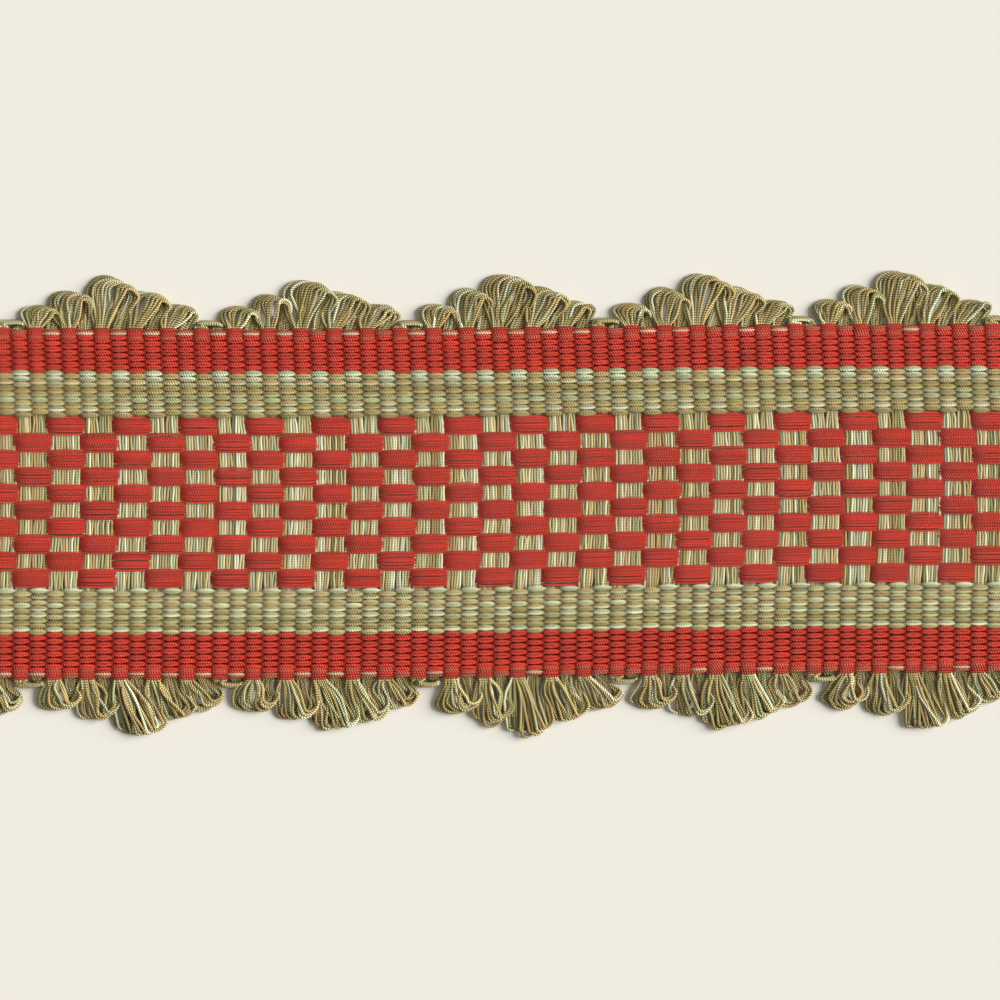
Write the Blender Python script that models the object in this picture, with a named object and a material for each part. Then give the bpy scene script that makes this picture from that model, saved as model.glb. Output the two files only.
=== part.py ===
"""Fan-edge braid trim: a cut length of ribbed and chequered braid with a looped fringe along both sides.

The trim lies face up. +X runs along the length, +Y across the width and +Z up from the surface.
The origin is in the middle of the underside. Sizes are in metres.
"""

from collections import namedtuple

import bmesh
import bpy

MM = 0.001
GAP = 0.3 * MM

# Length: a rib is one bundle of weft yarns, and rib 0 starts the first whole scallop
RIB_PITCH = 2.5 * MM
RIB_COUNT = 64
FIRST_RIB = -2
RIBS_PER_SCALLOP = 12
LENGTH = RIB_COUNT * RIB_PITCH

# Width: a chequered middle between two green and two red ribbed bands
CHECK_ROWS = 10
CHECK_WIDTH = 25.8 * MM
GREEN_BAND = 7.0 * MM
RED_BAND = 6.6 * MM
HALF_WIDTH = CHECK_WIDTH / 2 + GREEN_BAND + RED_BAND
EDGE_STEP = 0.4 * MM
EDGE_ROUND = 0.6 * MM
ROW_PITCH = CHECK_WIDTH / CHECK_ROWS
BAND_END_STEP = ROW_PITCH / 4

# Heights of the face above the surface
RIB_CREST = 2.1 * MM
RIB_VALLEY = 1.5 * MM
EDGE_CREST = 1.5 * MM
EDGE_VALLEY = 1.1 * MM
BAND_END_CREST = 1.8 * MM
FLOAT_CREST = 2.15 * MM
FLOAT_MIDDLE = 2.3 * MM
PALE_CREST = 1.85 * MM
PALE_MIDDLE = 1.65 * MM
CHECK_VALLEY = 1.55 * MM
ROW_BORDER_CREST = 1.75 * MM
ROW_BORDER_VALLEY = 1.45 * MM

# The strip that holds the roots of a fringe
STRIP_WIDTH = 0.7 * MM
STRIP_HEIGHT = 2.0 * MM

# A lock goes out in the upper layer, turns over its tip and comes back in the lower layer
LOCK_DEPTH = 0.76 * MM
LOCK_WIDENING = 1.45
OUT_ROOT_HEIGHT = 1.58 * MM
OUT_TIP_HEIGHT = 1.32 * MM
BACK_ROOT_HEIGHT = 0.63 * MM
BACK_TIP_HEIGHT = LOCK_DEPTH / 2
TURN_WIDTH = 0.3 * MM
TURN_DEPTH = 0.45 * MM
ROOT_STEP = 1.2 * MM
SIDE_LOCK_REACH = 0.93
WELD_DISTANCE = 0.001 * MM

# Where a lock bends on its way out, as shares of its whole way along the length, across and down
BEND_ALONG = 0.6
BEND_ACROSS = 0.5
BEND_DOWN = 0.4

# The loops of one scallop, in order along the length, in millimetres.
# reach: how far the tip stands out from the cloth; lean: how far it stands to the right of its roots;
# spread: half the width of the fan at its tips; locks: how many stand side by side
Skein = namedtuple("Skein", "reach lean spread locks")
UPPER_SKEINS = (
    Skein(3.4, -0.7, 0.9, 2),
    Skein(5.3, -0.8, 1.6, 3),
    Skein(7.5, -0.2, 1.8, 3),
    Skein(5.3, 0.2, 1.6, 3),
    Skein(3.3, 0.5, 0.9, 2),
    Skein(1.3, 0.0, 0.0, 1),
)
LOWER_SKEINS = (
    Skein(5.4, -0.4, 1.0, 2),
    Skein(7.0, 0.4, 1.6, 3),
    Skein(9.0, 1.0, 1.8, 3),
    Skein(7.1, 1.0, 1.6, 3),
    Skein(5.4, 0.9, 1.0, 2),
    Skein(1.7, 0.0, 0.0, 1),
)
# The scallops aren't quite the same size
SCALLOP_SIZES = (0.98, 0.95, 1.04, 1.0, 1.03)
LARGEST_SCALLOP = max(SCALLOP_SIZES)

# The fringe is longer below, so the cloth lies above the middle of the whole trim
UPPER_REACH = max(skein.reach for skein in UPPER_SKEINS) * MM * LARGEST_SCALLOP
LOWER_REACH = max(skein.reach for skein in LOWER_SKEINS) * MM * LARGEST_SCALLOP
CLOTH_MIDDLE_Y = (LOWER_REACH - UPPER_REACH) / 2

# Colour, roughness and metallic value of each yarn
RED_YARN = ((0.45, 0.035, 0.025, 1.0), 0.6, 0.0)
GREEN_YARN = ((0.36, 0.37, 0.22, 1.0), 0.65, 0.0)
PALE_YARN = ((0.50, 0.52, 0.36, 1.0), 0.65, 0.0)
FRINGE_YARN = ((0.42, 0.40, 0.22, 1.0), 0.65, 0.0)


def clear_scene():
    """Remove the objects that the scene starts with."""
    for obj in list(bpy.data.objects):
        bpy.data.objects.remove(obj, do_unlink=True)


def new_collection(name):
    """Make a collection in the scene."""
    collection = bpy.data.collections.new(name)
    bpy.context.scene.collection.children.link(collection)
    return collection


def yarn_material(name, finish):
    """Make a plain yarn material from its colour, roughness and metallic value."""
    colour, roughness, metallic = finish
    material = bpy.data.materials.new(name)
    material.use_nodes = True
    shader = material.node_tree.nodes["Principled BSDF"]
    shader.inputs["Base Color"].default_value = colour
    shader.inputs["Roughness"].default_value = roughness
    shader.inputs["Metallic"].default_value = metallic
    return material


def rib_left(rib):
    """Where a rib starts along the length."""
    return -LENGTH / 2 + (rib - FIRST_RIB) * RIB_PITCH


def rib_middle(rib):
    """The middle of a rib along the length."""
    return rib_left(rib) + RIB_PITCH / 2


def row_lines():
    """Lines across the width, from the lower edge up, as pairs of a place and a kind."""
    lower = [
        (-HALF_WIDTH, "edge"),
        (-HALF_WIDTH + EDGE_ROUND, "band"),
        (-CHECK_WIDTH / 2 - GREEN_BAND, "band"),
        (-CHECK_WIDTH / 2 - BAND_END_STEP, "band"),
    ]
    rows = [(-CHECK_WIDTH / 2, "band end")]
    for row in range(CHECK_ROWS):
        bottom = -CHECK_WIDTH / 2 + row * ROW_PITCH
        rows.append((bottom + ROW_PITCH / 2, CHECK_ROWS - 1 - row))
        rows.append((bottom + ROW_PITCH, "row border"))
    rows[-1] = (CHECK_WIDTH / 2, "band end")
    upper = [(-place, kind) for place, kind in reversed(lower)]
    return lower + rows + upper


def is_float(rib, row):
    """Whether a red float covers this rib in this row, counted from 0 at the top."""
    return (rib // 2 + row) % 2 == 1


def face_height(column, kind):
    """Height of the face where a line along the width crosses a line across it.

    Even columns are the grooves between ribs and odd ones the crests. In the chequered middle
    a check covers two ribs, so the groove inside a pair is the middle of the check.
    """
    rib = FIRST_RIB + column // 2
    crest = column % 2 == 1
    inside_pair = not crest and rib % 2 == 1
    if kind == "edge":
        return EDGE_CREST if crest else EDGE_VALLEY
    if kind == "band":
        return RIB_CREST if crest else RIB_VALLEY
    if kind == "band end":
        return BAND_END_CREST if crest else ROW_BORDER_VALLEY
    if kind == "row border":
        return ROW_BORDER_CREST if crest or inside_pair else ROW_BORDER_VALLEY
    if crest:
        return FLOAT_CREST if is_float(rib, kind) else PALE_CREST
    if inside_pair:
        return FLOAT_MIDDLE if is_float(rib, kind) else PALE_MIDDLE
    return CHECK_VALLEY


def edge_place(column, place, kind):
    """Every other rib stops short of the edge, the even ones above and the odd ones below."""
    if kind != "edge":
        return place
    rib = FIRST_RIB + column // 2
    crest = column % 2 == 1
    full_rib = rib % 2 == (1 if place > 0 else 0)
    if crest and full_rib:
        return place
    return place - EDGE_STEP if place > 0 else place + EDGE_STEP


def band_of(place_y, column, lines, line):
    """Which yarn shows in a face: 0 is red, 1 is green and 2 is the pale weft."""
    distance = abs(place_y)
    if distance > CHECK_WIDTH / 2 + GREEN_BAND:
        return 0
    if distance > CHECK_WIDTH / 2:
        return 1
    kinds = (lines[line][1], lines[line + 1][1])
    row = next(kind for kind in kinds if not isinstance(kind, str))
    return 0 if is_float(FIRST_RIB + column // 2, row) else 2


def woven_ground(collection):
    """The cloth as one solid: a grid raised into ribs and checks, closed by a flat underside."""
    columns = 2 * RIB_COUNT
    lines = row_lines()
    bm = bmesh.new()
    bmesh.ops.create_grid(bm, x_segments=columns, y_segments=len(lines) - 1, size=0.5)
    cells = {}
    for vert in bm.verts:
        column = round((vert.co.x + 0.5) * columns)
        line = round((vert.co.y + 0.5) * (len(lines) - 1))
        cells[vert] = (column, line)
    for face in bm.faces:
        column = min(cells[vert][0] for vert in face.verts)
        line = min(cells[vert][1] for vert in face.verts)
        middle = (lines[line][0] + lines[line + 1][0]) / 2
        face.material_index = band_of(middle, column, lines, line)
    for vert, (column, line) in cells.items():
        place, kind = lines[line]
        vert.co.x = -LENGTH / 2 + column * RIB_PITCH / 2
        vert.co.y = edge_place(column, place, kind)
        vert.co.z = face_height(column, kind)
    lowered = bmesh.ops.extrude_face_region(bm, geom=bm.faces[:])
    for vert in (item for item in lowered["geom"] if isinstance(item, bmesh.types.BMVert)):
        vert.co.z = 0.0
    bmesh.ops.recalc_face_normals(bm, faces=bm.faces)
    mesh = bpy.data.meshes.new("woven_ground")
    bm.to_mesh(mesh)
    bm.free()
    for material in (
        yarn_material("red_warp", RED_YARN),
        yarn_material("green_warp", GREEN_YARN),
        yarn_material("pale_weft", PALE_YARN),
    ):
        mesh.materials.append(material)
    obj = bpy.data.objects.new("woven_ground", mesh)
    obj.location = (0.0, CLOTH_MIDDLE_Y, 0.0)
    collection.objects.link(obj)
    return obj


def part_way(start, end, share):
    """A value between two others."""
    return start + (end - start) * share


def lock_points(leave_x, enter_x, skein, size, across, side):
    """Points of one lock: out in the upper layer, round its tip, back in the lower layer.

    across runs from -1 to 1 over the locks of a skein, and side is 1 above the cloth and -1 below.
    """
    reach = skein.reach * MM * size * part_way(1.0, SIDE_LOCK_REACH, across * across)
    tip_x = (leave_x + enter_x) / 2 + skein.lean * MM + across * skein.spread * MM
    tip_y = reach - LOCK_DEPTH / 2
    turn_y = tip_y - TURN_DEPTH
    root_y = GAP + STRIP_WIDTH / 2
    turn = TURN_WIDTH if skein.locks > 1 else RIB_PITCH / 2
    root_spread = ROOT_STEP * (skein.locks - 1) / 2
    out_x = leave_x + across * root_spread
    back_x = enter_x + across * root_spread
    points = [(out_x, root_y, OUT_ROOT_HEIGHT)]
    if skein.locks > 1:
        points.append(
            (
                part_way(out_x, tip_x - turn / 2, BEND_ALONG),
                part_way(root_y, turn_y, BEND_ACROSS),
                part_way(OUT_ROOT_HEIGHT, OUT_TIP_HEIGHT, BEND_DOWN),
            )
        )
    points.append((tip_x - turn / 2, turn_y, OUT_TIP_HEIGHT))
    points.append((tip_x, tip_y, (OUT_TIP_HEIGHT + BACK_TIP_HEIGHT) / 2))
    points.append((tip_x + turn / 2, turn_y, BACK_TIP_HEIGHT))
    points.append((back_x, root_y, BACK_ROOT_HEIGHT))
    return [(x, side * y, z) for x, y, z in points]


def skein_locks(rib, skein, size, side):
    """The locks of one skein, which leaves the cloth at a rib and enters it at the next."""
    if skein.locks == 1:
        places = [0.0]
    else:
        places = [-1.0 + 2.0 * lock / (skein.locks - 1) for lock in range(skein.locks)]
    return [
        lock_points(rib_middle(rib), rib_middle(rib + 1), skein, size, across, side)
        for across in places
    ]


def fringe_locks(skeins, first_rib, side):
    """All locks of a fringe. Its first whole scallop starts with the skein from rib first_rib."""
    locks = []
    last_rib = FIRST_RIB + RIB_COUNT - 1
    for rib in range(FIRST_RIB, last_rib):
        if (rib - first_rib) % 2:
            continue
        skein = skeins[(rib - first_rib) // 2 % len(skeins)]
        size = SCALLOP_SIZES[rib // RIBS_PER_SCALLOP % len(SCALLOP_SIZES)]
        locks.extend(skein_locks(rib, skein, size, side))
    return locks


def locks_curve(name, locks):
    """Four-sided tubes with closed ends along every lock, drawn narrow for widening along the length."""
    curve = bpy.data.curves.new(name, "CURVE")
    curve.dimensions = "3D"
    curve.bevel_depth = LOCK_DEPTH / 2
    curve.bevel_resolution = 0
    curve.use_fill_caps = True
    for points in locks:
        spline = curve.splines.new("POLY")
        spline.points.add(len(points) - 1)
        for point, (x, y, z) in zip(spline.points, points):
            point.co = (x / LOCK_WIDENING, y, z, 1.0)
    return curve


def mesh_from_curve(obj, collection):
    """Replace a curve object by a mesh of its evaluated shape, with its caps welded on."""
    evaluated = obj.evaluated_get(bpy.context.evaluated_depsgraph_get())
    mesh = bpy.data.meshes.new_from_object(evaluated)
    bm = bmesh.new()
    bm.from_mesh(mesh)
    bmesh.ops.remove_doubles(bm, verts=bm.verts, dist=WELD_DISTANCE)
    bmesh.ops.recalc_face_normals(bm, faces=bm.faces)
    bm.to_mesh(mesh)
    bm.free()
    made = bpy.data.objects.new(obj.name + "_mesh", mesh)
    made.matrix_world = obj.matrix_world
    collection.objects.link(made)
    bpy.data.objects.remove(obj, do_unlink=True)
    return made


def fan_edge(name, collection, guides, skeins, first_rib, side):
    """A fringe: the narrow strip along one edge of the cloth, with every lock fused into it."""
    place = (0.0, CLOTH_MIDDLE_Y + side * HALF_WIDTH, 0.0)
    curve = locks_curve(name + "_locks", fringe_locks(skeins, first_rib, side))
    locks = bpy.data.objects.new(curve.name, curve)
    locks.location = place
    locks.scale = (LOCK_WIDENING, 1.0, 1.0)
    guides.objects.link(locks)
    bpy.context.view_layer.update()
    locks = mesh_from_curve(locks, guides)
    locks.hide_render = True
    locks.display_type = "WIRE"

    bpy.ops.mesh.primitive_cube_add(size=1.0)
    strip = bpy.context.active_object
    strip.name = name
    for owner in list(strip.users_collection):
        owner.objects.unlink(strip)
    collection.objects.link(strip)
    strip.data.name = name
    for vert in strip.data.vertices:
        vert.co.x *= LENGTH
        vert.co.y = vert.co.y * STRIP_WIDTH + side * (GAP + STRIP_WIDTH / 2)
        vert.co.z = (vert.co.z + 0.5) * STRIP_HEIGHT
    strip.location = place
    strip.data.materials.append(yarn_material(name + "_yarn", FRINGE_YARN))
    union = strip.modifiers.new("locks", "BOOLEAN")
    union.operation = "UNION"
    union.solver = "EXACT"
    union.object = locks
    return strip


def main():
    clear_scene()
    trim = new_collection("braid_trim")
    guides = new_collection("guides")
    woven_ground(trim)
    fan_edge("fan_edge_upper", trim, guides, UPPER_SKEINS, 1, 1)
    fan_edge("fan_edge_lower", trim, guides, LOWER_SKEINS, 2, -1)


main()
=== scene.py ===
"""Looks of the fan-edge braid trim, yarn by yarn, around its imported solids.

The braid lies face up with +X along its length, +Y across its width and +Z up. Sizes are in metres,
and the short tables of the fringe are in millimetres.
"""

import math
from collections import namedtuple

import bpy
import numpy as np
from mathutils import Euler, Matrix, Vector


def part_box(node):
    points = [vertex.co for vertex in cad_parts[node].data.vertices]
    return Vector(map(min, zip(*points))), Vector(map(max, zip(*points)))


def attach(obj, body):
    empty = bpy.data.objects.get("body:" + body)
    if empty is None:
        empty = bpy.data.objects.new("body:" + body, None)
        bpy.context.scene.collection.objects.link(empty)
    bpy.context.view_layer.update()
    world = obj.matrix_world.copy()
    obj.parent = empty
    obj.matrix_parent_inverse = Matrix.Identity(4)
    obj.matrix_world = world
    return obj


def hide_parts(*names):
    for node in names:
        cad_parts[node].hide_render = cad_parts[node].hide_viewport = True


bl_info = {
    "name": "Fan-edge braid trim",
    "version": (1, 0, 0),
    "blender": (4, 5, 0),
    "location": "3D View > Sidebar > Braid",
    "description": "Builds a woven braid trim with looped scalloped edges, yarn by yarn",
    "category": "Object",
}

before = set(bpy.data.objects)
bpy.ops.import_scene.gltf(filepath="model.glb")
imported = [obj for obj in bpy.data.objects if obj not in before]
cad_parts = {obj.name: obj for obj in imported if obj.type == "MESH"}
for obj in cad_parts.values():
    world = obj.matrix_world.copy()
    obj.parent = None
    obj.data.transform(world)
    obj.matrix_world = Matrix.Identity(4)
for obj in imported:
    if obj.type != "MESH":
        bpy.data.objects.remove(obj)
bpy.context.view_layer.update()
GROUND_LOW, GROUND_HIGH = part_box("woven_ground")

MM = 0.001

# The weave's own counts: ribs along the length, rows of checks across the width
RIB_COUNT = 64
FIRST_RIB = -2
RIBS_PER_SCALLOP = 12
CHECK_ROWS = 10
RIBS_PER_CHECK = 2

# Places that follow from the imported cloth
LENGTH = GROUND_HIGH.x - GROUND_LOW.x
HALF_WIDTH = (GROUND_HIGH.y - GROUND_LOW.y) / 2
CLOTH_Y = (GROUND_HIGH.y + GROUND_LOW.y) / 2
FACE_HEIGHT = GROUND_HIGH.z
RIB_PITCH = LENGTH / RIB_COUNT
# Half of the chequered middle and half of the cloth as the photograph shows them, in millimetres, how far
# the checks lie above the cloth's middle, and how much of their two halves the rows fill
CHECK_HALF_SEEN = 12.9
CLOTH_HALF_SEEN = 26.5
CHECK_SHIFT = 0.12 * MM
CHECK_FILL = 1.98
CHECK_HALF = HALF_WIDTH * CHECK_HALF_SEEN / CLOTH_HALF_SEEN
CHECK_Y = CLOTH_Y + CHECK_SHIFT
ROW_PITCH = CHECK_FILL * CHECK_HALF / CHECK_ROWS

# Corners of a yarn's cross-section, and the start of the random draws for each kind of yarn
YARN_SIDES = 5
BAND_SEED = 11
CHECK_SEED = 23
WEFT_SEED = 31
LOOP_SEED = 47
# How far the dye strays from yarn to yarn, and how much of that goes to red, green and blue
HUE_STRAY = 0.03
HUE_WEIGHTS = (0.3, 1.0, 1.2)

# Stations of a warp across one float, from -1 to 1: where it lies over and where it lies under
OVER_STATIONS = np.array([-1.0, -0.82, -0.5, 0.0, 0.5, 0.82])
UNDER_STATIONS = np.array([-1.0, -0.6, 0.6])
LONG_OVER_STATIONS = np.array([-1.0, -0.95, -0.83, -0.55, -0.2, 0.2, 0.55, 0.83, 0.95])
LONG_UNDER_STATIONS = np.array([-1.0, -0.93, -0.6, 0.0, 0.6, 0.93])
# A float of a band: how far it reaches past its rib, how round it is, the powers by which it thins and its
# pair closes towards its ends, and its middle level and its lift as shares of the face's height
BAND_OVERHANG = 0.50 * MM
BAND_ROUNDNESS = 2.2
BAND_TAPER = 2.5
BAND_CLOSING = 1.4
BAND_LEVEL = 0.457
BAND_LIFT = 0.42
BAND_STRAY = 0.02 * MM
# Thickness across and upwards, and painted shade that darkens a yarn where it dives between the ribs:
# the least share, and what the crest adds to it
BAND_ACROSS = (0.30, 0.92)
BAND_UP = (0.60, 0.36)
BAND_PAINTED_SHADE = (0.55, 0.45)
# How uneven the shade is from yarn to yarn and from float to float
BAND_UNEVEN = (0.06, 0.08)
# The outermost warps, within this distance of the edge, lift less and lie lower
EDGE_EASE = 0.9 * MM
EDGE_LIFT_LOSS = 0.22
EDGE_DROP = 0.08 * MM

# A float of the checks in the same way. Its row spreads on top, in millimetres, and lies in a low dome
CHECK_OVERHANG = 0.62 * MM
CHECK_ROUNDNESS = 2.2
CHECK_LEVEL = 0.5
CHECK_LIFT = 0.405
CHECK_SPREAD = (0.94, 0.34)
CHECK_DOME = 0.34 * MM
CHECK_STRAY = 0.03 * MM
CHECK_STRAY_UP = 0.035 * MM
CHECK_THICKNESS = (0.90, 0.10)
CHECK_FLATTENING = 1.08
# Painted shade: the red yarns darken towards the ends of each float, where they dive
CHECK_PAINTED_SHADE = (0.44, 0.56)
CHECK_UNEVEN = (0.05, 0.09)

# Stations of a weft across one row of checks, from -1 to 1, and how far it bulges at each of them
FRONT_WEFT = ((-1.0, -0.5, 0.5), (0.0, 1.0, 1.0))
BACK_WEFT = ((-1.0, 0.0), (0.0, 1.0))
STATION_NUDGE = 0.001
# Where the wefts end in the bands and from where they close up, in rows, and how much closer they get
WEFT_END = 0.55
WEFT_GATHER_FROM = 0.6
WEFT_GATHER = 0.24
# The share of a rib that its wefts fill, and how far they wander to the sides and stray in height
WEFT_FILL = 0.98
WEFT_WANDER = 0.05 * MM
WEFT_STRAY = 0.04 * MM
# Millimetres by which a weft rises over a float beneath it and dips under one above it
WEFT_RISE = 0.12
WEFT_DIP = 0.16
# A layer's distance from the middle, what it loses in the bands, and how much a rib's side yarns lie lower
WEFT_LAYER = 0.33 * MM
WEFT_SINK = 0.10 * MM
WEFT_DROOP = 0.05 * MM
# Radius as a share of the yarn's thickness, how the shade differs from yarn to yarn, and the painted shade
# where a weft dips under a red float with painted light where it rises over one
WEFT_RADIUS = 0.44
WEFT_UNEVEN = 0.06
WEFT_PAINTED_LIGHT_AND_SHADE = (0.97, 0.16)

# Yarns of one weft bundle, in the cloth and in the fringe. t tan, s sand, o olive, a aqua, p pale aqua
WEFT_BUNDLE = "tspatspatspo"
LOOP_BUNDLE = "ttotsoatotapto"

# Warps of the bands from the outer edge inwards, in millimetres from it: where the first and the last pair
# of each colour lie, and the two yarns of each pair. Full ribs have red warps up to the very edge, and
# short ribs leave the edge to the loops. r red, d deep red, u rust, w pale thread
Band = namedtuple("Band", "edge reds greens")
FULL_EDGE = ((0.22, "d"), (0.60, "d"), (0.98, "r"), (1.36, "u"))
BANDS = {
    ("upper", "full"): Band(FULL_EDGE, (1.87, 6.38), (7.26, 12.68)),
    ("upper", "short"): Band(((0.50, "u"), (0.84, "w")), (1.40, 5.92), (6.80, 13.12)),
    ("lower", "full"): Band(FULL_EDGE, (1.92, 6.72), (7.60, 12.92)),
    ("lower", "short"): Band(((0.50, "u"), (0.86, "w")), (1.45, 6.26), (7.14, 13.34)),
}
RED_PAIRS = 6
PAIR_HALF_GAP = 0.225
# Share of the ribs where the pale thread of the edge doesn't show
THREAD_HIDDEN = 0.4
GREEN_PAIRS = {
    ("upper", "full"): "tt ts oo ta aa ot to",
    ("upper", "short"): "ap pa at ot ta ts ap to",
    ("lower", "full"): "pa to ta ot ap tt at",
    ("lower", "short"): "os ot ao pa pt ta so ap",
}

# How far the wefts bow along the length between the two edges of the cloth, and how that is skewed;
# how far and over what length the whole braid sways from a straight line
BOW = 0.92
BOW_SKEW = 0.8
SWAY = 0.2
SWAY_LENGTH = 151.5
SWAY_START = 61.8

# The loops of one scallop, in order along the length, in millimetres.
# left and right: how far the loops stand out from between their two ribs; reach: how far from the edge;
# arch: how wide the last loop is at its tip; drop: how much less the outer loops reach; rise: height of the
# first loop; tilt: how much farther out the left shoulder of a loop lies than its middle; nest: 0 where all
# loops are as wide as the last, 1 where each lies inside the one before it
Skein = namedtuple("Skein", "left right reach arch drop rise tilt nest")
UPPER_SKEINS = (
    Skein(-3.4, 2.5, 3.4, 1.4, 0.10, 0.40, 0.10, 0.65),
    Skein(-3.7, 2.6, 5.5, 1.6, 0.10, 0.40, 0.25, 0.65),
    Skein(-3.8, 4.1, 7.8, 1.9, 0.20, 0.40, 0.40, 0.65),
    Skein(-2.9, 4.1, 5.7, 1.7, 0.10, 0.35, 0.25, 0.65),
    Skein(-2.2, 3.3, 3.5, 1.4, 0.10, 0.35, 0.10, 0.65),
    Skein(-2.2, 2.0, 1.2, 3.6, 0.10, 0.45, 0.0, 0.0),
)
LOWER_SKEINS = (
    Skein(-4.0, 2.6, 5.0, 2.2, 0.30, 0.40, 0.3, 0.6),
    Skein(-2.7, 3.6, 6.3, 2.2, 0.40, 0.40, 0.5, 0.35),
    Skein(-2.5, 4.7, 8.1, 1.7, 0.60, 0.40, 0.4, 0.12),
    Skein(-2.0, 4.5, 6.3, 2.0, 0.50, 0.35, 0.5, 0.2),
    Skein(-2.1, 4.0, 4.8, 2.0, 0.30, 0.35, 0.5, 0.6),
    Skein(-1.8, 2.1, 1.3, 3.4, 0.10, 0.45, 0.0, 0.0),
)
# The skeins of each edge and how much more than evenly they stray
FRINGES = {"upper": (UPPER_SKEINS, 1.0), "lower": (LOWER_SKEINS, 1.6)}
LoopRow = namedtuple("LoopRow", ("root", *Skein._fields, "size"))
# How much less the last loop of a wholly nested skein reaches, as a share, by what power, and how flat the
# tips are
NEST_DROP = 0.34
NEST_POWER = 1.3
CROWN_SHARE = 0.32
CROWN_MOST = 0.5
SCALLOP_SIZES = (0.98, 0.95, 1.04, 1.0, 1.03)
# A skein that reaches less than this fills the gap between two scallops. Its loops get narrower and shorter
LOW_REACH = 2.0
LOW_NARROWING = 0.12
LOW_SHORTENING = 0.35
# Where in a skein the loops reach farthest, with the first loop at nought and the last at two
FARTHEST = 1.1
# How strongly whole skeins stray against single loops, and both in width and at the tips
SKEIN_STRAY = 0.9
SKEIN_WIDTH_STRAY = 0.12
SKEIN_TIP_STRAY = 0.5
WIDTH_STRAY = 0.15
TIP_STRAY = (0.8, 0.7)
SHOULDER_STRAY = 0.3
# The legs of a loop: how far they stray and lean towards the tip, and how far out they do so
LEG_STRAY = 1.4
LEG_LEAN = 0.42
LEG_PLACE = 0.45
# A loop that reaches this far, in millimetres, strays and tilts in full
FREE_REACH = 5
# Roots, in millimetres: how far they spread in their rib, how deep they start, and their heights
ROOT_SPREAD = 0.92
ROOT_DEPTH = 1.3
BACK_ROOT_DEPTH = 0.3
FRONT_DEEP, FRONT_EDGE, FRONT_LEG = 1.05, 1.25, 1.35
BACK_DEEP, BACK_EDGE, BACK_LEG = 0.95, 0.70, 0.45
BACK_LEG_RISE = 0.25
LAYER_STEP = 0.12
# How much higher the last loop lies than the first, and how far a loop falls round its tip
STACK_RISE = 1.0
TIP_FALL = 0.35
TIP_ANGLES = (180, 140, 105, 70, 35, 0)
LOOP_STATIONS = 27
LOOP_UNEVEN = 0.07
# Painted shade and light: a loop's colour is darker the lower it lies and lighter high up, to a cap
LOOP_PAINTED_LIGHT_AND_SHADE = (0.68, 0.30)
LOOP_PAINTED_LIGHT_MOST = 1.1

# The heart of the cloth: columns in one rib, distances from the edges and ends, its level as a share of the
# face's height, and half its thickness in millimetres, level and with the arch of a rib
HEART_COLUMNS = 6
HEART_INSET = 0.45 * MM
HEART_END_GAP = 0.02 * MM
HEART_LEVEL = 0.47
HEART_WEB = 0.10
HEART_ARCH = 0.42
HEART_ROUNDNESS = 2.3
HEART_RIM_SHARE = 0.6
HEART_EASE = 0.8 * MM
# From the edge to the last green, to the change of colour and to the first red of the heart
RED_LINE = (6.7 * MM, 6.6 * MM, 6.5 * MM)

# The two cottons: how dark the painted shade in the grooves is, roughness, painted sheen on the crests
# and height of the plies
Cotton = namedtuple("Cotton", "depth roughness halo relief")
COTTONS = {
    "warp_cotton": Cotton(0.70, 0.36, 0.05, 0.12 * MM),
    "weft_cotton": Cotton(0.70, 0.36, 0.10, 0.12 * MM),
}
PAINTED_SHEEN_TINT = (1.0, 0.75, 0.50)
COTTON_SHEEN = 0.35
HEART_SHEEN = 0.1
HEART_ROUGHNESS = 0.9
# Powers that sharpen the ridge of a ply and its painted sheen
RIDGE_POWER = 1.2
PAINTED_SHEEN_POWER = 3.0
# Scale and detail of the slow and the fine noise, and what they do to shade, roughness and relief
NOISES = ((900.0, 2.0), (9000.0, 1.0))
FIBRE_SHADE = 0.3
FIBRE_ROUGHNESS = 0.25
FIBRE_RELIEF = 0.3
ROUGHNESS_DROP = 0.12


def rib_left(rib):
    """Where a rib starts along the length."""
    return GROUND_LOW.x + (rib - FIRST_RIB) * RIB_PITCH


def laid(points):
    """Points of the even braid moved to where it lies, bowed in the cloth and swaying as a whole.

    Along the length the shift is the squared sine of half a turn times the skewed part of the way from
    the upper to the lower edge. Across it is a sine along the length.
    """
    way = np.clip((CLOTH_Y + HALF_WIDTH - points[..., 1]) / (2 * HALF_WIDTH), 0, 1)
    moved = points.copy()
    moved[..., 0] += BOW * MM * np.sin(math.pi * way**BOW_SKEW) ** 2
    moved[..., 1] -= SWAY * MM * np.sin(2 * math.pi * (points[..., 0] / MM + SWAY_START) / SWAY_LENGTH)
    return moved


class BraidSizes(bpy.types.PropertyGroup):
    """Sizes that a user of the braid would change."""

    yarn: bpy.props.FloatProperty(
        name="Weft yarn", description="Thickness of one weft yarn", default=0.49 * MM, unit="LENGTH"
    )
    warp: bpy.props.FloatProperty(
        name="Warp yarn", description="Thickness of one warp yarn", default=0.42 * MM, unit="LENGTH"
    )
    row_yarns: bpy.props.IntProperty(
        name="Warps a row", description="Red warps side by side in one row of checks", default=7
    )
    bundle_yarns: bpy.props.IntProperty(
        name="Wefts shown", description="Weft yarns of one rib side by side in a pale check", default=6
    )
    unevenness: bpy.props.FloatProperty(
        name="Unevenness", description="How far the loops stray from their even places",
        default=0.22 * MM, unit="LENGTH",
    )
    ply_pitch: bpy.props.FloatProperty(
        name="Ply spacing", description="From ply to ply along a yarn, in millimetres", default=0.38
    )


def colour_property(name, description, default):
    """A colour with its name and description."""
    return bpy.props.FloatVectorProperty(
        name=name, description=description, default=default, subtype="COLOR", size=3, min=0, max=1
    )


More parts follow.
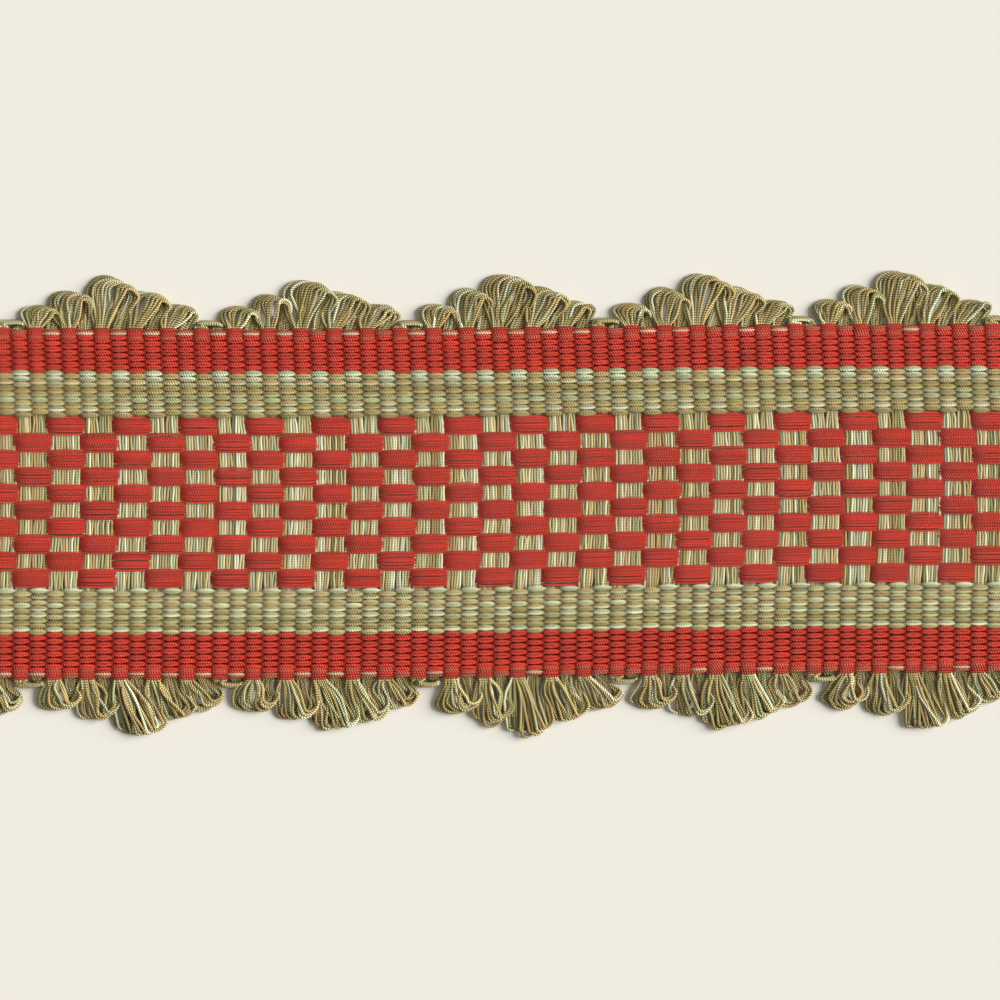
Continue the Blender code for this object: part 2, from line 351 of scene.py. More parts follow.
class BraidColours(bpy.types.PropertyGroup):
    """Yarn colours, as linear red, green and blue."""

    red: colour_property("Brick red", "Warps of the red bands and the checks", (0.76, 0.028, 0.007))
    deep_red: colour_property("Deep red", "Outermost warps of the edge", (0.62, 0.020, 0.006))
    rust: colour_property("Rust", "Single warp at the very edge", (0.60, 0.10, 0.045))
    thread: colour_property("Edge thread", "Pale thread along the edge", (0.80, 0.58, 0.36))
    tan: colour_property("Tan", "Warm weft and warp yarns", (0.63, 0.48, 0.19))
    sand: colour_property("Sand", "Light warm yarns", (0.82, 0.69, 0.36))
    olive: colour_property("Olive", "Dull green yarns", (0.44, 0.38, 0.13))
    aqua: colour_property("Aqua", "Blue-green yarns", (0.60, 0.62, 0.33))
    pale_aqua: colour_property("Pale aqua", "Light blue-green yarns", (0.96, 0.98, 0.66))
    # The heart's two colours are painted shade, dark stand-ins for the shade inside the cloth
    inside: colour_property("Inside", "Shaded heart beneath the pale yarns", (0.20, 0.14, 0.06))
    red_inside: colour_property("Red inside", "Shaded heart beneath the red bands", (0.12, 0.008, 0.004))
    paper: colour_property("Surface", "What the braid lies on", (0.822, 0.798, 0.733))


def sizes():
    """The size settings."""
    return bpy.context.scene.braid_sizes


def colours():
    """The colour settings."""
    return bpy.context.scene.braid_colours


def yarn_colours(letters):
    """Colours of yarns given by letters, as an array with a row for each."""
    c = colours()
    known = {
        "r": c.red, "d": c.deep_red, "u": c.rust, "w": c.thread,
        "t": c.tan, "s": c.sand, "o": c.olive, "a": c.aqua, "p": c.pale_aqua,
    }
    return np.array([tuple(known[letter]) for letter in letters])


def hue_stray(rng, count):
    """Small differences of colour from yarn to yarn, as factors on red, green and blue."""
    return 1 + HUE_STRAY * rng.normal(0, 1, (count, 1, 3)) * np.array(HUE_WEIGHTS)


def link(obj):
    """Put an object in the scene."""
    bpy.context.scene.collection.objects.link(obj)
    return obj


def unit(vectors):
    """Vectors scaled to length one."""
    return vectors / np.maximum(np.linalg.norm(vectors, axis=-1, keepdims=True), 1e-12)


def colour_points(mesh, tints, shape):
    """Store the colour of every point, whose grid has this shape."""
    shades = np.ones((*shape, 4), np.float32)
    shades[..., :3] = tints
    layer = mesh.color_attributes.new("yarn_colour", "FLOAT_COLOR", "POINT")
    layer.data.foreach_set("color", shades.ravel())


def yarn_mesh(name, paths, across, up, tints):
    """Tubes along many yarns at once.

    paths is yarns by stations by 3. A point of a yarn is its path point, plus the level side direction
    times across and the cosine of the turn, plus the third direction times up and the sine of the turn.
    across, up and tints are given for each yarn or for each station of each yarn.
    """
    sides = YARN_SIDES
    yarns, stations, _ = paths.shape
    across = np.broadcast_to(across, (yarns, stations))
    up = np.broadcast_to(up, (yarns, stations))
    tints = np.broadcast_to(tints if tints.ndim == 3 else tints[:, None, :], (yarns, stations, 3))
    along = unit(np.gradient(paths, axis=1))
    level = unit(np.cross(np.array([0.0, 0.0, 1.0]), along))
    third = np.cross(along, level)
    turn = 2 * math.pi * np.arange(sides) / sides
    points = (
        paths[:, :, None, :]
        + (across[:, :, None] * np.cos(turn))[..., None] * level[:, :, None, :]
        + (up[:, :, None] * np.sin(turn))[..., None] * third[:, :, None, :]
    )

    ring = np.arange(yarns * stations * sides).reshape(yarns, stations, sides)
    after = np.roll(ring, -1, axis=2)
    quads = np.stack([ring[:, :-1], after[:, :-1], after[:, 1:], ring[:, 1:]], axis=-1).reshape(-1, 4)
    caps = np.concatenate([ring[:, 0, ::-1], ring[:, -1, :]])
    corners = np.concatenate([quads.ravel(), caps.ravel()])
    starts = np.concatenate([np.arange(len(quads)) * 4, quads.size + np.arange(len(caps)) * sides])

    lengths = np.linalg.norm(np.diff(paths, axis=1), axis=-1).cumsum(axis=1) / MM
    lengths = np.concatenate([np.zeros((yarns, 1)), lengths], axis=1)
    start_u = np.broadcast_to(lengths[:, :-1, None], (yarns, stations - 1, sides))
    end_u = np.broadcast_to(lengths[:, 1:, None], (yarns, stations - 1, sides))
    low_v = np.broadcast_to(np.arange(sides) / sides, (yarns, stations - 1, sides))
    high_v = low_v + 1 / sides
    quad_uv = np.stack([start_u, low_v, start_u, high_v, end_u, high_v, end_u, low_v], axis=-1)
    uv = np.concatenate([quad_uv.ravel(), np.zeros(caps.size * 2)])

    mesh = bpy.data.meshes.new(name)
    mesh.vertices.add(yarns * stations * sides)
    mesh.vertices.foreach_set("co", points.astype(np.float32).ravel())
    mesh.loops.add(len(corners))
    mesh.loops.foreach_set("vertex_index", corners.astype(np.int32))
    mesh.polygons.add(len(starts))
    mesh.polygons.foreach_set("loop_start", starts.astype(np.int32))
    mesh.update(calc_edges=True)
    mesh.uv_layers.new(name="yarn").data.foreach_set("uv", uv.astype(np.float32))
    colour_points(mesh, tints[:, :, None, :], (yarns, stations, sides))
    mesh.shade_smooth()
    return link(bpy.data.objects.new(name, mesh))


def arch(stations, roundness):
    """Height of a float over its stations: nought at its ends, one in the middle, steep at the sides.

    The formula is one minus the station to the power roundness, and the root of that of the same order.
    """
    return (1 - np.abs(stations) ** roundness) ** (1 / roundness)


def weave_stations(span, overhang, over_first, over, under, roundness):
    """Places, heights and float numbers along one warp, which goes over one float and under the next.

    Heights run from -1 in the middle of an under-float to 1 in the middle of an over-float. An over-float
    is longer than its span by an overhang at each end, and an under-float shorter by as much.
    """
    order = [(over, 1), (under, -1)] if over_first else [(under, -1), (over, 1)]
    place, height, number = [], [], []
    for n, (stations, sign) in enumerate(order):
        place.append((n + 0.5) * span + stations * (span / 2 + sign * overhang))
        height.append(sign * arch(stations, roundness))
        number.append(np.full(len(stations), n))
    place, height, number = (np.concatenate(part) for part in (place, height, number))
    repeats = round(LENGTH / span) // 2
    turns = np.arange(repeats)[:, None]
    places = (place + 2 * span * turns).ravel()
    numbers = (number + 2 * turns).ravel()
    places = np.append(places, LENGTH) + GROUND_LOW.x
    return places, np.append(np.tile(height, repeats), 0.0), np.append(numbers, numbers[-1])


def ramp(least_and_more, share):
    """The least value, plus the share of what may be added."""
    least, more = least_and_more
    return least + more * share


def float_stray(rng, count, floats, numbers):
    """One normal draw for each float of each yarn, given at every station."""
    return rng.normal(0, 1, (count, floats))[:, numbers]


def uneven_shade(rng, count, floats, numbers, by_yarn, by_float):
    """Brightness that differs from yarn to yarn, and on one yarn from float to float."""
    return 1 + by_yarn * rng.normal(0, 1, (count, 1)) + by_float * float_stray(rng, count, floats, numbers)


def ribbed_warps(insets, half_gaps, letters, over_even, side, seed):
    """Warps of a ribbed band that lie over every other rib.

    A yarn's path is level across the width but for its pair, which spreads on top of a rib
    and pinches to a point where it dives between two ribs. side is 1 above the middle and -1 below.
    """
    rng = np.random.default_rng(seed)
    over_first = over_even == (FIRST_RIB % 2 == 0)
    places, heights, numbers = weave_stations(
        RIB_PITCH, BAND_OVERHANG, over_first, OVER_STATIONS, UNDER_STATIONS, BAND_ROUNDNESS
    )
    count = len(insets)
    stray = float_stray(rng, count, RIB_COUNT, numbers)
    stray_up = float_stray(rng, count, RIB_COUNT, numbers)
    edge_ease = np.clip((EDGE_EASE - insets) / EDGE_EASE, 0, 1)[:, None]
    lift = FACE_HEIGHT * BAND_LIFT * (1 - EDGE_LIFT_LOSS * edge_ease)
    full = np.abs(heights)
    # The arch of a height is the station again: the taper falls from one on the crest to nought at the ends
    taper = 1 - arch(full, BAND_ROUNDNESS) ** BAND_TAPER
    pinch = half_gaps[:, None] * taper**BAND_CLOSING
    y = CLOTH_Y + side * (HALF_WIDTH - insets[:, None] - pinch) + BAND_STRAY * stray
    z = FACE_HEIGHT * BAND_LEVEL - EDGE_DROP * edge_ease + lift * heights + BAND_STRAY * stray_up
    x = np.broadcast_to(places, y.shape)
    across = sizes().warp / 2 * ramp(BAND_ACROSS, taper) * np.ones_like(y)
    up = sizes().warp / 2 * ramp(BAND_UP, taper) * np.ones_like(y)
    # Painted shade: the colour darkens where the yarn dives between ribs, on top of its uneven tone
    shade = uneven_shade(rng, count, RIB_COUNT, numbers, *BAND_UNEVEN) * ramp(BAND_PAINTED_SHADE, full)
    tints = yarn_colours(letters)[:, None, :] * hue_stray(rng, count) * shade[..., None]
    hidden = rng.random((count, RIB_COUNT))[:, numbers] < THREAD_HIDDEN
    hidden &= np.array([letter == "w" for letter in letters])[:, None]
    tints = np.where(hidden[..., None], tuple(colours().rust), tints)
    return laid(np.stack([x, y, np.maximum(z, up)], axis=-1)), across, up, tints


def band_side(side):
    """All warps of the red and green bands on one side of the checks."""
    where = "upper" if side > 0 else "lower"
    groups = []
    for kind in ("full", "short"):
        band = BANDS[where, kind]
        greens = GREEN_PAIRS[where, kind].split()
        rows = [(inset, 0.0, letter) for inset, letter in band.edge]
        for pairs, (first, last) in ((["rr"] * RED_PAIRS, band.reds), (greens, band.greens)):
            for inset, pair in zip(np.linspace(first, last, len(pairs)), pairs):
                rows += [(inset, -PAIR_HALF_GAP, pair[0]), (inset, PAIR_HALF_GAP, pair[1])]
        insets, gaps, letters = zip(*rows)
        over_even = (kind == "full") == (side < 0)
        seed = BAND_SEED + side + 3 * len(band.edge)
        warps = ribbed_warps(np.array(insets) * MM, np.array(gaps) * MM, letters, over_even, side, seed)
        groups.append(warps)
    return groups


def check_rows(rng, over_first):
    """The rows of red warps that begin on top, or the rows that begin underneath."""
    s = sizes()
    floats = RIB_COUNT // RIBS_PER_CHECK
    # Row 0 is at the top, and a red float lies over ribs 0 and 1 in the odd rows
    first_pair = FIRST_RIB // RIBS_PER_CHECK
    rows = [row for row in range(CHECK_ROWS) if ((first_pair + row) % 2 == 1) == over_first]
    places, heights, numbers = weave_stations(
        RIBS_PER_CHECK * RIB_PITCH, CHECK_OVERHANG, over_first,
        LONG_OVER_STATIONS, LONG_UNDER_STATIONS, CHECK_ROUNDNESS,
    )
    middle = (s.row_yarns - 1) / 2
    offsets = np.tile((np.arange(s.row_yarns) - middle) / middle, len(rows))[:, None]
    centres = CHECK_Y + CHECK_HALF - (np.array(rows) + 0.5) * ROW_PITCH
    centres = np.repeat(centres, s.row_yarns)[:, None]
    count = len(offsets)
    on_top = np.clip(heights, 0, 1)
    y = centres + offsets * (ramp(CHECK_SPREAD, on_top) * MM)
    y = y + CHECK_STRAY * float_stray(rng, count, floats, numbers)
    z = FACE_HEIGHT * CHECK_LEVEL + FACE_HEIGHT * CHECK_LIFT * heights - CHECK_DOME * on_top * offsets**2
    z = z + CHECK_STRAY_UP * float_stray(rng, count, floats, numbers)
    x = np.broadcast_to(places, y.shape)
    # Painted shade towards the ends of each float, on top of the uneven tone
    shade = uneven_shade(rng, count, floats, numbers, *CHECK_UNEVEN) * ramp(CHECK_PAINTED_SHADE, np.abs(heights))
    tints = yarn_colours("r" * count)[:, None, :] * hue_stray(rng, count) * shade[..., None]
    radius = s.warp / 2 * ramp(CHECK_THICKNESS, on_top) * np.ones_like(y)
    paths = laid(np.stack([x, y, np.maximum(z, radius)], axis=-1))
    return paths, CHECK_FLATTENING * radius, radius, tints


def check_warps():
    """The red warps of the chequered middle: each row lies over a pair of ribs and under the next pair.

    On top the yarns of a row spread and lie in a low dome; underneath they close up.
    """
    rng = np.random.default_rng(CHECK_SEED)
    return [check_rows(rng, over_first) for over_first in (True, False)]


def check_wefts(layer):
    """Weft yarns of the chequered middle, in a top or a bottom layer.

    A yarn runs across the width. It rises a little over each red float beneath it and dips under each
    one above it, and the yarns of a rib close up where they enter the green bands.
    """
    rng = np.random.default_rng(WEFT_SEED + layer)
    s = sizes()
    per_rib = s.bundle_yarns
    local, bump = FRONT_WEFT if layer > 0 else BACK_WEFT
    end = CHECK_HALF + ROW_PITCH * WEFT_END
    rows = np.arange(CHECK_ROWS)
    places = -CHECK_HALF + (rows[:, None] + 0.5 + np.array(local) / 2) * ROW_PITCH
    y = np.concatenate([[-end], places.ravel(), [CHECK_HALF, end]])
    from_below = np.clip(np.floor((y + CHECK_HALF) / ROW_PITCH + STATION_NUDGE), 0, CHECK_ROWS - 1)
    row_of = CHECK_ROWS - 1 - from_below
    bump = np.concatenate([[0], np.tile(bump, CHECK_ROWS), [0, 0]])
    ribs = np.repeat(np.arange(RIB_COUNT) + FIRST_RIB, per_rib)
    from_middle = np.tile(np.arange(per_rib), RIB_COUNT)[:, None] - (per_rib - 1) / 2
    red_above = (ribs[:, None] // RIBS_PER_CHECK + row_of) % 2 == 1
    over = np.where(red_above, -1.0, 1.0) * bump
    into_band = np.clip((np.abs(y) - CHECK_HALF + WEFT_GATHER_FROM * ROW_PITCH) / ROW_PITCH, 0, 1)
    pitch = WEFT_FILL * RIB_PITCH / per_rib
    offset = from_middle * pitch * (1 - WEFT_GATHER * into_band)
    wander = rng.normal(0, WEFT_WANDER, (len(ribs), len(y)))
    x = np.array([rib_left(rib) for rib in ribs])[:, None] + RIB_PITCH / 2 + offset + wander
    rise = np.where(over > 0, WEFT_RISE, WEFT_DIP) * MM * over
    height = FACE_HEIGHT * CHECK_LEVEL + WEFT_LAYER * layer + rise - WEFT_SINK * into_band * layer
    side_droop = WEFT_DROOP * np.abs(from_middle) * layer
    z = height - side_droop + WEFT_STRAY * rng.normal(0, 1, (len(ribs), 1))
    letters = "".join("".join(rng.permutation(list(WEFT_BUNDLE))[:per_rib]) for _ in range(RIB_COUNT))
    # Painted shade where the weft dips under a red float, painted light where it rises over one
    shade = (1 + WEFT_UNEVEN * rng.normal(0, 1, (len(ribs), 1))) * ramp(WEFT_PAINTED_LIGHT_AND_SHADE, over)
    tints = yarn_colours(letters)[:, None, :] * hue_stray(rng, len(ribs)) * shade[..., None]
    radius = WEFT_RADIUS * s.yarn
    paths = np.stack([x, np.broadcast_to(y + CHECK_Y, x.shape), z], axis=-1)
    return laid(paths), radius, radius, tints


def smooth_paths(points, stations):
    """Curves through given points: on each stretch the cubic that keeps the direction of its neighbours."""
    before = np.concatenate([2 * points[:, :1] - points[:, 1:2], points[:, :-1]], axis=1)
    after = np.concatenate([points[:, 1:], 2 * points[:, -1:] - points[:, -2:-1]], axis=1)
    slopes = (after - before) / 2
    reach = np.linspace(0, points.shape[1] - 1 - 1e-9, stations)
    index = reach.astype(int)
    t = (reach - index)[None, :, None]
    p, q = points[:, index], points[:, index + 1]
    m, n = slopes[:, index], slopes[:, index + 1]
    return (
        (2 * t**3 - 3 * t**2 + 1) * p + (t**3 - 2 * t**2 + t) * m
        + (3 * t**2 - 2 * t**3) * q + (t**3 - t**2) * n
    )


def skein_table(skeins, side):
    """The numbers of a fringe's skeins: root, those of the kind, and the size of the scallop."""
    start = 1 if side > 0 else 2
    ribs = [rib for rib in range(FIRST_RIB, FIRST_RIB + RIB_COUNT - 1) if (rib - start) % 2 == 0]
    rows = []
    for rib in ribs:
        skein = skeins[(rib - start) // 2 % len(skeins)]
        size = SCALLOP_SIZES[rib // RIBS_PER_SCALLOP % len(SCALLOP_SIZES)]
        rows.append((rib_left(rib + 1) / MM, *skein, size))
    return LoopRow(*np.array(rows).T[:, :, None])


def loop_tips(row, q, stray, skein_stray):
    """Place, half width and crown of each loop's tip, in millimetres from its root.

    q goes from nought at the first loop of a skein to one at the last. The tips move evenly from left to
    right. Where nest is above nought, the first loops are wider and the last ones reach less far, so that
    each lies inside the one before it.
    """
    low = row.reach < LOW_REACH
    room = row.right - row.left - row.arch
    even_width = row.arch + row.nest * (1 - q) * room
    width = even_width * (1 + SKEIN_WIDTH_STRAY * skein_stray[1] + WIDTH_STRAY * stray[2])
    width = width * np.where(low, 1 - LOW_NARROWING * q, 1)
    tip_x = row.left + q * room + even_width / 2 + TIP_STRAY[0] * stray[0] + skein_stray[0]
    bow = 1 - row.drop * (2 * q - FARTHEST) ** 2 / row.reach - NEST_DROP * row.nest * q**NEST_POWER
    free_stray = TIP_STRAY[1] * stray[1] + SKEIN_TIP_STRAY * skein_stray[2]
    tip_y = row.reach * row.size * bow + np.where(low, -LOW_SHORTENING * q * row.reach, free_stray)
    crown = np.minimum(CROWN_SHARE * tip_y, CROWN_MOST * width)
    return tip_x, tip_y, width / 2, crown


def loop_points(row, q, stray, tips):
    """The points that the loops' curves go through: front root, front leg, tip, back leg, back root."""
    tip_x, tip_y, half, crown = tips
    across = 2 * (q - 0.5) * ROOT_SPREAD
    front_x = -RIB_PITCH / 2 / MM + across
    back_x = RIB_PITCH / 2 / MM + across
    shoulder = row.rise + STACK_RISE * q + SHOULDER_STRAY * stray[5]
    layer = LAYER_STEP * np.where(np.arange(q.size) % 2, 1, -1)[None, :]
    floor = sizes().yarn / 2 / MM
    turn_y = tip_y - crown
    free = np.clip(tip_y / FREE_REACH, 0, 1)

    def point(x, y, z):
        return np.stack(np.broadcast_arrays(row.root + x, y, np.maximum(z, floor)), axis=-1)

    front_leg = front_x + LEG_LEAN * (tip_x - half - front_x) + LEG_STRAY * free * stray[3]
    back_leg = back_x + LEG_LEAN * (tip_x + half - back_x) + LEG_STRAY * free * stray[4]
    points = [
        point(front_x, -ROOT_DEPTH, FRONT_DEEP + layer),
        point(front_x, 0.0, FRONT_EDGE + layer),
        point(front_leg, LEG_PLACE * turn_y, 0.5 * (FRONT_LEG + shoulder) + 0.5 * layer),
    ]
    for angle in TIP_ANGLES:
        a = math.radians(angle)
        out = turn_y + crown * math.sin(a) - row.tilt * free * math.cos(a)
        points.append(point(tip_x + half * math.cos(a), out, shoulder - TIP_FALL * (180 - angle) / 180))
    points += [
        point(back_leg, LEG_PLACE * turn_y, BACK_LEG + BACK_LEG_RISE * q),
        point(back_x, -BACK_ROOT_DEPTH, BACK_EDGE + layer),
        point(back_x, -ROOT_DEPTH, BACK_DEEP + layer),
    ]
    return np.stack(points, axis=2)


def fan_paths(skeins, side, stray_by, seed):
    """Paths and colours of every looped yarn of a fringe.

    A loop leaves the cloth at one rib in the upper layer, runs out to the left of its tip, goes round a
    tilted ellipse to the right and comes back beneath into the next rib. Across a skein the loops are
    shifted along the length, each lies a little above the one before it, and in a nested skein inside it.
    """
    rng = np.random.default_rng(seed)
    row = skein_table(skeins, side)
    skein_count, count = len(row.root), len(LOOP_BUNDLE)
    q = np.linspace(0, 1, count)[None, :]
    stray = [rng.normal(0, stray_by / MM, (skein_count, count)) for _ in range(6)]
    skein_stray = rng.normal(0, SKEIN_STRAY * stray_by / MM, (3, skein_count, 1))
    points = loop_points(row, q, stray, loop_tips(row, q, stray, skein_stray))
    paths = points.reshape(skein_count * count, -1, 3) * MM
    paths[..., 1] = CLOTH_Y + side * (HALF_WIDTH + paths[..., 1])
    letters = "".join("".join(rng.permutation(list(LOOP_BUNDLE))) for _ in range(skein_count))
    paths = laid(smooth_paths(paths, LOOP_STATIONS))
    shade = 1 + LOOP_UNEVEN * rng.normal(0, 1, (len(letters), 1))
    # Painted shade low down and painted light high up, by the height of each station
    shade = shade * np.clip(ramp(LOOP_PAINTED_LIGHT_AND_SHADE, paths[..., 2] / MM), 0, LOOP_PAINTED_LIGHT_MOST)
    return paths, yarn_colours(letters)[:, None, :] * hue_stray(rng, len(letters)) * shade[..., None]


def heart_surface():
    """The heart of the cloth, dark with painted shade: the weft bundles as one closed ribbed sheet beneath
    the warps.

    Height is the middle, plus or minus a thin web and the arch of each rib. In the chequered middle
    the sheet is level and thinner.
    """
    low_end, high_end = GROUND_LOW.x + HEART_END_GAP, GROUND_HIGH.x - HEART_END_GAP
    x = np.linspace(low_end, high_end, RIB_COUNT * HEART_COLUMNS + 1)
    edge = HALF_WIDTH - HEART_INSET
    last_green, red_from, first_red = (HALF_WIDTH - inset for inset in RED_LINE)
    half = np.array([0.0, CHECK_HALF / 2, CHECK_HALF, CHECK_HALF + HEART_EASE, last_green, first_red, edge])
    y = np.concatenate([-half[:0:-1], half])
    c = colours()
    # Painted shade: dark colours for the heart, red beneath the red bands
    tints = np.where((np.abs(y) > red_from)[:, None], tuple(c.red_inside), tuple(c.inside))
    tints = np.broadcast_to(tints[:, None, :], (len(y), len(x), 3))
    station = 2 * (((x - GROUND_LOW.x) / RIB_PITCH) % 1.0) - 1
    ribs = arch(np.clip(station, -1, 1), HEART_ROUNDNESS)
    in_band = np.clip((np.abs(y) - CHECK_HALF) / HEART_EASE, 0, 1)
    thick = (HEART_WEB + HEART_ARCH * in_band[:, None] * ribs[None, :]) * MM
    thick = thick * np.where(np.abs(y) >= edge - 1e-9, HEART_RIM_SHARE, 1.0)[:, None]
    xs, ys = np.meshgrid(x, y)
    top = np.stack([xs, ys + CLOTH_Y, FACE_HEIGHT * HEART_LEVEL + thick], axis=-1)
    bottom = np.stack([xs, ys + CLOTH_Y, FACE_HEIGHT * HEART_LEVEL - thick], axis=-1)
    return laid(top), laid(bottom), tints


def closed_sheet(name, top, bottom, tints):
    """A mesh from two grids of points, one above the other, joined round their rim and coloured alike."""
    rows, columns, _ = top.shape
    upper = np.arange(rows * columns).reshape(rows, columns)
    lower = upper + rows * columns

    def cells(grid):
        corners = (grid[:-1, :-1], grid[:-1, 1:], grid[1:, 1:], grid[1:, :-1])
        return np.stack(corners, axis=-1).reshape(-1, 4)

    def rim_of(grid):
        return np.concatenate([grid[0, :-1], grid[:-1, -1], grid[-1, :0:-1], grid[:0:-1, 0]])

    rim_up, rim_low = rim_of(upper), rim_of(lower)
    wall = np.stack([rim_low, np.roll(rim_low, -1), np.roll(rim_up, -1), rim_up], axis=-1)
    faces = np.concatenate([cells(upper), cells(lower)[:, ::-1], wall])
    mesh = bpy.data.meshes.new(name)
    points = np.concatenate([top.reshape(-1, 3), bottom.reshape(-1, 3)])
    mesh.from_pydata(points.tolist(), [], faces.tolist())
    colour_points(mesh, tints.reshape(-1, 3), (2, rows * columns))
    mesh.shade_smooth()
    return link(bpy.data.objects.new(name, mesh))


def group_with(name, inputs, outputs):
    """A shader node group with named number inputs and outputs, and its two end nodes."""
    group = bpy.data.node_groups.new(name, "ShaderNodeTree")
    for label, kind, default in inputs:
        socket = group.interface.new_socket(label, in_out="INPUT", socket_type=kind)
        socket.default_value = default
    for label, kind in outputs:
        group.interface.new_socket(label, in_out="OUTPUT", socket_type=kind)
    return group, group.nodes.new("NodeGroupInput"), group.nodes.new("NodeGroupOutput")


def math_node(tree, operation, first, second=None):
    """A Math node fed by sockets or numbers; it gives its output socket."""
    node = tree.nodes.new("ShaderNodeMath")
    node.operation = operation
    for place, value in enumerate((first, second)):
        if value is None:
            continue
        if isinstance(value, (int, float)):
            node.inputs[place].default_value = value
        else:
            tree.links.new(value, node.inputs[place])
    return node.outputs[0]


def ply_twist_group():
    """Two plies wound round each other, from the yarn's own length and turn.

    The ridge is the size of the sine of half a turn for every ply spacing along the yarn less one whole
    turn round it, so grooves run slantwise over the yarn. Shade darkens the grooves as painted shade, and
    the painted sheen grows on the crests alone.
    """
    known = bpy.data.node_groups.get("ply_twist")
    if known:
        return known
    group, start, end = group_with(
        "ply_twist",
        (("Spacing", "NodeSocketFloat", 0.4), ("Depth", "NodeSocketFloat", 0.35)),
        (("Ridge", "NodeSocketFloat"), ("Shade", "NodeSocketFloat"), ("Halo", "NodeSocketFloat")),
    )
    uv = group.nodes.new("ShaderNodeUVMap")
    uv.uv_map = "yarn"
    parts = group.nodes.new("ShaderNodeSeparateXYZ")
    group.links.new(uv.outputs["UV"], parts.inputs[0])
    turns = math_node(group, "DIVIDE", parts.outputs["X"], start.outputs["Spacing"])
    half_turns = math_node(group, "MULTIPLY", turns, math.pi)
    round_it = math_node(group, "MULTIPLY", parts.outputs["Y"], 2 * math.pi)
    wave = math_node(group, "SINE", math_node(group, "SUBTRACT", half_turns, round_it))
    ridge = math_node(group, "POWER", math_node(group, "ABSOLUTE", wave), RIDGE_POWER)
    low = math_node(group, "SUBTRACT", 1.0, start.outputs["Depth"])
    shade = math_node(group, "ADD", low, math_node(group, "MULTIPLY", ridge, start.outputs["Depth"]))
    group.links.new(ridge, end.inputs["Ridge"])
    group.links.new(shade, end.inputs["Shade"])
    group.links.new(math_node(group, "POWER", ridge, PAINTED_SHEEN_POWER), end.inputs["Halo"])
    return group


def fibre_group():
    """Uneven dye and stray fibres: a slow and a fine noise in the braid's own space."""
    known = bpy.data.node_groups.get("fibre_variation")
    if known:
        return known
    group, start, end = group_with(
        "fibre_variation",
        (("Amount", "NodeSocketFloat", 0.2),),
        (("Shade", "NodeSocketFloat"), ("Fibres", "NodeSocketFloat")),
    )
    place = group.nodes.new("ShaderNodeTexCoord")
    noises = []
    for scale, detail in NOISES:
        noise = group.nodes.new("ShaderNodeTexNoise")
        noise.inputs["Scale"].default_value = scale
        noise.inputs["Detail"].default_value = detail
        group.links.new(place.outputs["Object"], noise.inputs["Vector"])
        noises.append(noise.outputs["Fac"])
    centred = math_node(group, "SUBTRACT", noises[0], 0.5)
    mixed = math_node(group, "ADD", centred, math_node(group, "SUBTRACT", noises[1], 0.5))
    shade = math_node(group, "ADD", 1.0, math_node(group, "MULTIPLY", mixed, start.outputs["Amount"]))
    group.links.new(shade, end.inputs["Shade"])
    group.links.new(noises[1], end.inputs["Fibres"])
    return group


def cotton_yarn(name):
    """Two-ply cotton: the yarn's own colour, with painted shade in the grooves between its plies and
    painted sheen on top.
    """
    cotton = COTTONS[name]
    material = bpy.data.materials.get(name) or bpy.data.materials.new(name)
    material.use_nodes = True
    tree = material.node_tree
    tree.nodes.clear()
    shader = tree.nodes.new("ShaderNodeBsdfPrincipled")
    result = tree.nodes.new("ShaderNodeOutputMaterial")
    tree.links.new(shader.outputs["BSDF"], result.inputs["Surface"])
    shader.inputs["Specular IOR Level"].default_value = COTTON_SHEEN

    dye = tree.nodes.new("ShaderNodeVertexColor")
    dye.layer_name = "yarn_colour"
    twist = tree.nodes.new("ShaderNodeGroup")
    twist.node_tree = ply_twist_group()
    twist.inputs["Spacing"].default_value = sizes().ply_pitch
    twist.inputs["Depth"].default_value = cotton.depth
    fibres = tree.nodes.new("ShaderNodeGroup")
    fibres.node_tree = fibre_group()
    fibres.inputs["Amount"].default_value = FIBRE_SHADE
    # Painted shade in the ply grooves, times the uneven tone of the fibres
    shade = math_node(tree, "MULTIPLY", twist.outputs["Shade"], fibres.outputs["Shade"])
    colour = tree.nodes.new("ShaderNodeVectorMath")
    colour.operation = "SCALE"
    tree.links.new(dye.outputs["Color"], colour.inputs[0])
    tree.links.new(shade, colour.inputs["Scale"])
    # Painted sheen: a pale tint added on the crests of the plies
    pale = tree.nodes.new("ShaderNodeVectorMath")
    pale.operation = "SCALE"
    pale.inputs[0].default_value = [cotton.halo * part for part in PAINTED_SHEEN_TINT]
    tree.links.new(twist.outputs["Halo"], pale.inputs["Scale"])
    total = tree.nodes.new("ShaderNodeVectorMath")
    total.operation = "ADD"
    tree.links.new(colour.outputs[0], total.inputs[0])
    tree.links.new(pale.outputs[0], total.inputs[1])
    tree.links.new(total.outputs[0], shader.inputs["Base Color"])

    rough = math_node(tree, "MULTIPLY", fibres.outputs["Fibres"], FIBRE_ROUGHNESS)
    rough = math_node(tree, "ADD", rough, cotton.roughness - ROUGHNESS_DROP)
    tree.links.new(rough, shader.inputs["Roughness"])
    bump = tree.nodes.new("ShaderNodeBump")
    bump.inputs["Strength"].default_value = 1.0
    bump.inputs["Distance"].default_value = cotton.relief
    fuzz = math_node(tree, "MULTIPLY", fibres.outputs["Fibres"], FIBRE_RELIEF)
    tree.links.new(math_node(tree, "ADD", twist.outputs["Ridge"], fuzz), bump.inputs["Height"])
    tree.links.new(bump.outputs["Normal"], shader.inputs["Normal"])
    return material


